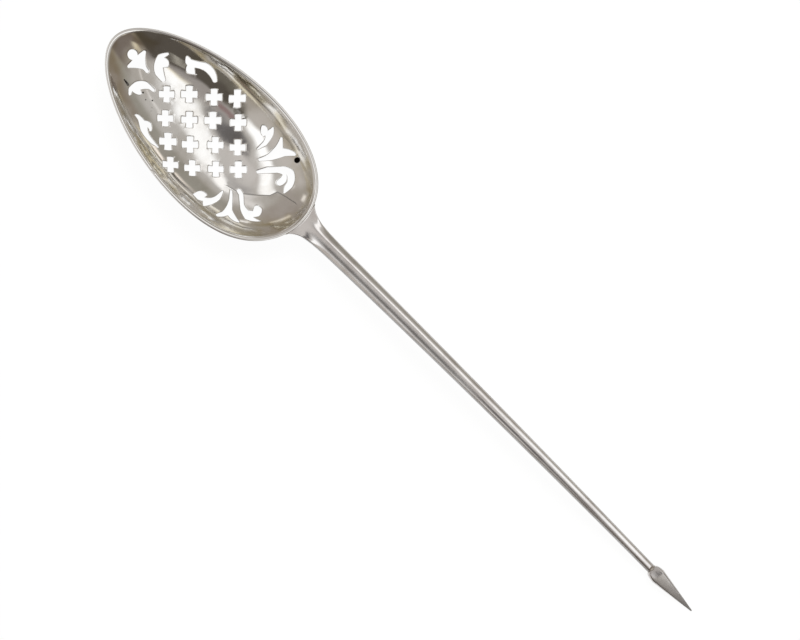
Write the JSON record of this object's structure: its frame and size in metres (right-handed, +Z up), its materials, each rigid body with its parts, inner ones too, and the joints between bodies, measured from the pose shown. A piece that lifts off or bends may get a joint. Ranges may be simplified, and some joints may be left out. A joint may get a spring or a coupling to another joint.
{
  "type": "mote spoon",
  "caption": "Silver mote spoon: a shallow oval bowl pierced with crosses and scrolls, on a slender tapering stem that ends in a barbless spear point.",
  "frame": {"origin": "on the table, under the middle of the spoon's length and the middle of the bowl's width", "axes": "+X along the spoon from the bowl's tip to the spear point, +Y across it, +Z up out of the open bowl"},
  "size_m": [0.14, 0.0248, 0.008],
  "materials": {
    "bowl_silver": "old sterling silver, rolled sheet, hand raised and pierced, soft polish with fine wear and a light warm tarnish",
    "stem_silver": "old sterling silver, forged and filed rod, soft polish with long draw marks",
    "silver_solder": "hard silver solder, filed off flush, a little greyer and duller than the metal beside it"
  },
  "bodies": {
    "root": {"bowl": "bowl_silver", "stem": "stem_silver", "heel_drop": "bowl_silver", "heel_solder": "silver_solder", "point": "stem_silver", "point_solder": "silver_solder"}
  },
  "joints": []
}
